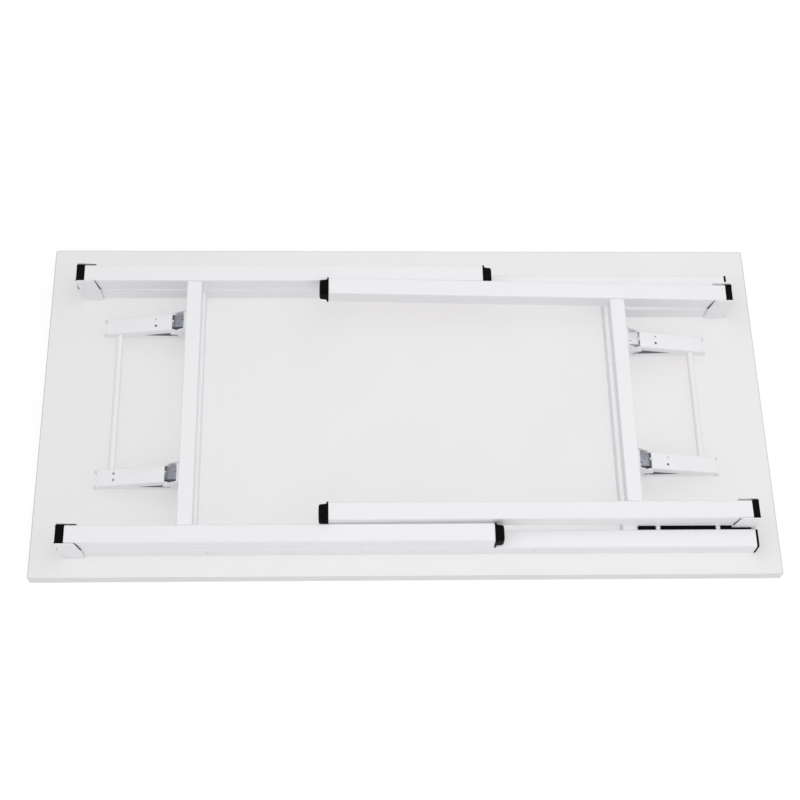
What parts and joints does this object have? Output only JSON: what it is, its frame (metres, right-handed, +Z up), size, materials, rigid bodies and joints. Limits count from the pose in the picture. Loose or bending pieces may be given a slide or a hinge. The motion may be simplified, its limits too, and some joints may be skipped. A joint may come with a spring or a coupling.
{
  "type": "folding desk",
  "caption": "Folding desk with a white rectangular top, steel tube frame, two fold-down leg frames and folding toggle braces.",
  "frame": {"origin": "middle of the worktop's face, which lies on the floor", "axes": "+Z up from the worktop's face to the folded legs, X along the top, -Y towards the pictured front edge"},
  "size_m": [1.2, 0.6, 0.0943],
  "materials": {
    "white_laminate": "fine matt white melamine laminate",
    "white_edge_band": "smooth white edge band",
    "white_powder_coat": "semi-gloss white powder coat with a faint orange peel",
    "black_plastic": "moulded satin black plastic",
    "zinc_plate": "bright zinc plate"
  },
  "bodies": {
    "tabletop_frame": {"tabletop_panel": "white_laminate", "edge_band": "white_edge_band", "front_long_rail": "white_powder_coat", "front_rail_cap": "black_plastic", "front_short_rail": "white_powder_coat", "front_slot_strip": "black_plastic", "back_long_rail": "white_powder_coat", "back_rail_cap": "black_plastic", "back_short_rail": "white_powder_coat", "back_slot_strip": "black_plastic", "left_cross_rail": "white_powder_coat", "right_cross_rail": "white_powder_coat", "left_front_pivot_bracket": "white_powder_coat", "left_front_pivot_pin": "white_powder_coat", "left_front_brace_base": "zinc_plate", "left_front_base_pin": "zinc_plate", "left_back_pivot_bracket": "white_powder_coat", "left_back_pivot_pin": "white_powder_coat", "left_back_brace_base": "zinc_plate", "left_back_base_pin": "zinc_plate", "right_front_pivot_bracket": "white_powder_coat", "right_front_pivot_pin": "white_powder_coat", "right_front_brace_base": "zinc_plate", "right_front_base_pin": "zinc_plate", "right_back_pivot_bracket": "white_powder_coat", "right_back_pivot_pin": "white_powder_coat", "right_back_brace_base": "zinc_plate", "right_back_base_pin": "zinc_plate"},
    "left_leg_frame": {"left_crossbar": "white_powder_coat", "left_front_leg": "white_powder_coat", "left_front_plug": "black_plastic", "left_front_foot": "black_plastic", "left_front_crossbar_bracket": "zinc_plate", "left_back_leg": "white_powder_coat", "left_back_plug": "black_plastic", "left_back_foot": "black_plastic", "left_back_crossbar_bracket": "zinc_plate"},
    "left_lower_links": {"left_front_lower_link": "white_powder_coat", "left_front_knee_pin": "zinc_plate", "left_back_lower_link": "white_powder_coat", "left_back_knee_pin": "zinc_plate"},
    "left_upper_links": {"left_front_upper_link": "white_powder_coat", "left_back_upper_link": "white_powder_coat", "left_release_rod": "white_powder_coat"},
    "right_leg_frame": {"right_crossbar": "white_powder_coat", "right_front_leg": "white_powder_coat", "right_front_plug": "black_plastic", "right_front_foot": "black_plastic", "right_front_crossbar_bracket": "zinc_plate", "right_back_leg": "white_powder_coat", "right_back_plug": "black_plastic", "right_back_foot": "black_plastic", "right_back_crossbar_bracket": "zinc_plate"},
    "right_lower_links": {"right_front_lower_link": "white_powder_coat", "right_front_knee_pin": "zinc_plate", "right_back_lower_link": "white_powder_coat", "right_back_knee_pin": "zinc_plate"},
    "right_upper_links": {"right_front_upper_link": "white_powder_coat", "right_back_upper_link": "white_powder_coat", "right_release_rod": "white_powder_coat"}
  },
  "joints": [
    {"name": "left_leg_fold", "type": "hinge", "parent": "tabletop_frame", "child": "left_leg_frame", "pos_m": [-0.53, -0.0145, 0.068], "axis": [0, -1, 0], "range_deg": [0, 90]},
    {"name": "left_lower_brace_fold", "type": "hinge", "parent": "tabletop_frame", "child": "left_lower_links", "pos_m": [-0.387, -0.0145, 0.03], "axis": [0, 1, 0], "range_deg": [0, 51.5]},
    {"name": "left_knee_fold", "type": "hinge", "parent": "left_lower_links", "child": "left_upper_links", "pos_m": [-0.49732, -0.0145, 0.036], "axis": [0, -1, 0], "range_deg": [0, 168]},
    {"name": "right_leg_fold", "type": "hinge", "parent": "tabletop_frame", "child": "right_leg_frame", "pos_m": [0.5365, -0.0145, 0.068], "axis": [0, 1, 0], "range_deg": [0, 88.9]},
    {"name": "right_lower_brace_fold", "type": "hinge", "parent": "tabletop_frame", "child": "right_lower_links", "pos_m": [0.3935, -0.0145, 0.03], "axis": [0, -1, 0], "range_deg": [0, 51.5]},
    {"name": "right_knee_fold", "type": "hinge", "parent": "right_lower_links", "child": "right_upper_links", "pos_m": [0.50346, -0.0145, 0.036], "axis": [0, 1, 0], "range_deg": [0, 168]}
  ],
  "couplings": [
    {"joint": "left_lower_brace_fold", "follows": "left_leg_fold", "ratio": 0.57121},
    {"joint": "left_knee_fold", "follows": "left_leg_fold", "ratio": 1.8624},
    {"joint": "right_lower_brace_fold", "follows": "right_leg_fold", "ratio": 0.57817},
    {"joint": "right_knee_fold", "follows": "right_leg_fold", "ratio": 1.8697}
  ]
}
